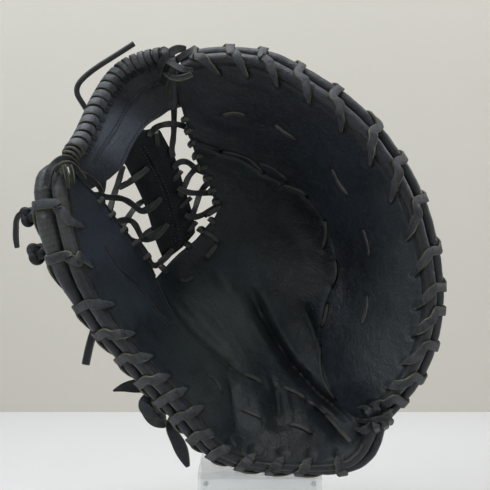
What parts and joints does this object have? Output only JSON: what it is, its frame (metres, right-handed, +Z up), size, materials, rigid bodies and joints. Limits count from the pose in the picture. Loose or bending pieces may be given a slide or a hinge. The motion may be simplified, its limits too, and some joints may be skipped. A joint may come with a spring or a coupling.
{
  "type": "first baseman mitt on display stand",
  "caption": "Long, single-lobed leather fielding mitt with a laced web, rolled and whip-laced rim, padded palm and wrist strap, standing on a clear bent-sheet display stand.",
  "frame": {"origin": "centre of the bounding box at the bottom of the stand's foot", "axes": "+Z up, the pocket faces -Y, +X toward the finger side (the thumb is at -X)"},
  "size_m": [0.2968, 0.1746, 0.3637],
  "materials": {
    "mat_finger_back_inner": "smooth black, satin",
    "mat_finger_back_middle": "smooth black, satin",
    "mat_finger_back_outer": "smooth black, satin",
    "mat_finger_back_roll": "smooth black, satin",
    "mat_finger_corner_tie_lower": "rawhide lace, raw cut edges",
    "mat_finger_corner_tie_upper": "rawhide lace, raw cut edges",
    "mat_finger_front_roll": "smooth black, satin",
    "mat_finger_panel": "smooth black, satin",
    "mat_finger_rim_lace": "rawhide lace, raw cut edges",
    "mat_heel_back_roll": "smooth black, satin",
    "mat_heel_corner_tie_a": "rawhide lace, raw cut edges",
    "mat_heel_corner_tie_b": "rawhide lace, raw cut edges",
    "mat_heel_front_roll": "smooth black, satin",
    "mat_heel_rim_lace": "rawhide lace, raw cut edges",
    "mat_palm_panel": "smooth black, satin",
    "mat_stand_foot": "clear acrylic, polished",
    "mat_stand_riser": "clear acrylic, polished",
    "mat_stand_screw_left": "satin",
    "mat_stand_screw_right": "satin",
    "mat_stand_upright": "clear acrylic, polished",
    "mat_strap_knot": "rawhide lace, raw cut edges",
    "mat_strap_lace_end": "rawhide lace, raw cut edges",
    "mat_strap_tab": "smooth black, satin",
    "mat_thumb_back": "smooth black, satin",
    "mat_thumb_back_lace_end": "rawhide lace, raw cut edges",
    "mat_thumb_knot_lower": "rawhide lace, raw cut edges",
    "mat_thumb_knot_upper": "rawhide lace, raw cut edges",
    "mat_thumb_lace_end": "rawhide lace, raw cut edges",
    "mat_thumb_tip_tie": "rawhide lace, raw cut edges",
    "mat_top_lace_end": "rawhide lace, raw cut edges",
    "mat_web_band": "smooth black, satin",
    "mat_web_binding": "smooth black, satin",
    "mat_web_binding_wrap": "rawhide lace, raw cut edges",
    "mat_web_lace_left_a": "rawhide lace, raw cut edges",
    "mat_web_lace_left_b": "rawhide lace, raw cut edges",
    "mat_web_lace_left_c": "rawhide lace, raw cut edges",
    "mat_web_lace_left_d": "rawhide lace, raw cut edges",
    "mat_web_lace_left_e": "rawhide lace, raw cut edges",
    "mat_web_lace_left_f": "rawhide lace, raw cut edges",
    "mat_web_lace_left_g": "rawhide lace, raw cut edges",
    "mat_web_lace_left_h": "rawhide lace, raw cut edges",
    "mat_web_lace_right_a": "rawhide lace, raw cut edges",
    "mat_web_lace_right_b": "rawhide lace, raw cut edges",
    "mat_web_lace_right_c": "rawhide lace, raw cut edges",
    "mat_web_lace_right_d": "rawhide lace, raw cut edges",
    "mat_web_lace_right_e": "rawhide lace, raw cut edges",
    "mat_web_lace_right_f": "rawhide lace, raw cut edges",
    "mat_web_lace_right_g": "rawhide lace, raw cut edges",
    "mat_web_post": "smooth black, satin",
    "mat_wrist_strap": "smooth black, satin"
  },
  "bodies": {
    "root": {"finger_back_inner": "mat_finger_back_inner", "finger_back_middle": "mat_finger_back_middle", "finger_back_outer": "mat_finger_back_outer", "finger_back_roll": "mat_finger_back_roll", "finger_corner_tie_lower": "mat_finger_corner_tie_lower", "finger_corner_tie_upper": "mat_finger_corner_tie_upper", "finger_front_roll": "mat_finger_front_roll", "finger_panel": "mat_finger_panel", "finger_rim_lace": "mat_finger_rim_lace", "heel_back_roll": "mat_heel_back_roll", "heel_corner_tie_a": "mat_heel_corner_tie_a", "heel_corner_tie_b": "mat_heel_corner_tie_b", "heel_front_roll": "mat_heel_front_roll", "heel_rim_lace": "mat_heel_rim_lace", "palm_panel": "mat_palm_panel", "stand_foot": "mat_stand_foot", "stand_riser": "mat_stand_riser", "stand_screw_left": "mat_stand_screw_left", "stand_screw_right": "mat_stand_screw_right", "stand_upright": "mat_stand_upright", "strap_knot": "mat_strap_knot", "strap_lace_end": "mat_strap_lace_end", "strap_tab": "mat_strap_tab", "thumb_back": "mat_thumb_back", "thumb_back_lace_end": "mat_thumb_back_lace_end", "thumb_knot_lower": "mat_thumb_knot_lower", "thumb_knot_upper": "mat_thumb_knot_upper", "thumb_lace_end": "mat_thumb_lace_end", "thumb_tip_tie": "mat_thumb_tip_tie", "top_lace_end": "mat_top_lace_end", "web_band": "mat_web_band", "web_binding": "mat_web_binding", "web_binding_wrap": "mat_web_binding_wrap", "web_lace_left_a": "mat_web_lace_left_a", "web_lace_left_b": "mat_web_lace_left_b", "web_lace_left_c": "mat_web_lace_left_c", "web_lace_left_d": "mat_web_lace_left_d", "web_lace_left_e": "mat_web_lace_left_e", "web_lace_left_f": "mat_web_lace_left_f", "web_lace_left_g": "mat_web_lace_left_g", "web_lace_left_h": "mat_web_lace_left_h", "web_lace_right_a": "mat_web_lace_right_a", "web_lace_right_b": "mat_web_lace_right_b", "web_lace_right_c": "mat_web_lace_right_c", "web_lace_right_d": "mat_web_lace_right_d", "web_lace_right_e": "mat_web_lace_right_e", "web_lace_right_f": "mat_web_lace_right_f", "web_lace_right_g": "mat_web_lace_right_g", "web_post": "mat_web_post", "wrist_strap": "mat_wrist_strap"}
  },
  "joints": []
}
